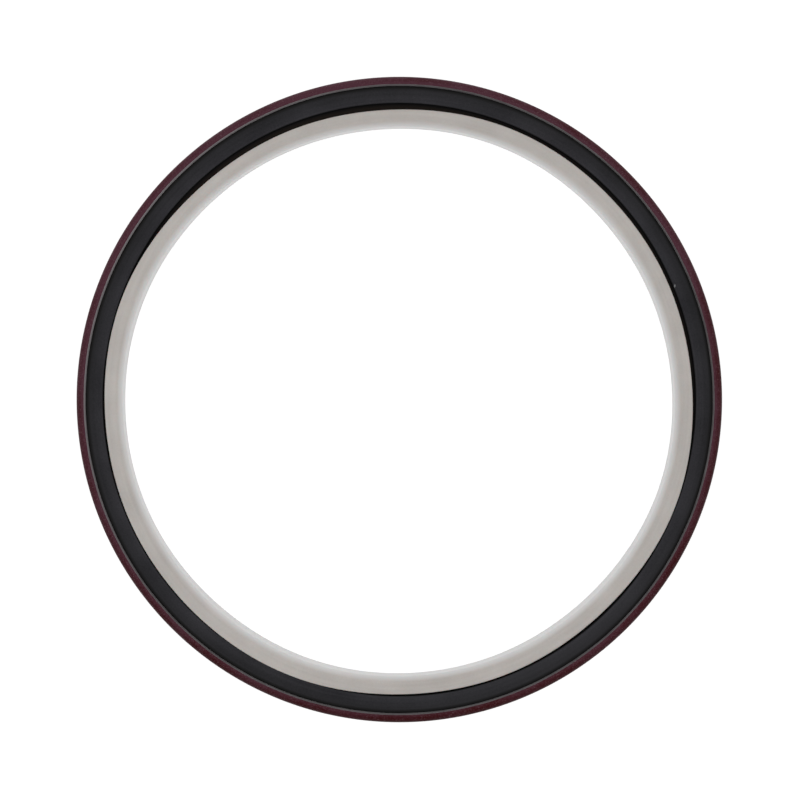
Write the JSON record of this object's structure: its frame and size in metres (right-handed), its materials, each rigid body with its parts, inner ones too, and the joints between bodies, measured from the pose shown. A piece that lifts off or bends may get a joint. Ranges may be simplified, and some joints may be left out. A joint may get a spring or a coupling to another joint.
{
  "type": "crankshaft seal",
  "caption": "Large round crankshaft seal: a maroon-coated steel case crimped over a flat black inner case, a dark lip inside, and a pale plastic sleeve that holds the lip open.",
  "frame": {"origin": "centre of the seal at the heel's face, which it rests on", "axes": "+Z along the seal's axis, from the oil side's heel up to the black face of the air side; +X and +Y are any two directions across the ring"},
  "size_m": [0.15, 0.15, 0.013],
  "materials": {
    "coated_case": "satin",
    "black_steel": "matte",
    "inner_steel": "matte",
    "gasket_rubber": "matte",
    "dark_lip": "satin",
    "pale_plastic": "satin"
  },
  "bodies": {
    "root": {"outer_case": "coated_case", "inner_case": "black_steel", "clamp_ring": "inner_steel", "gasket": "gasket_rubber", "sealing_lip": "dark_lip", "installation_sleeve": "pale_plastic"}
  },
  "joints": []
}
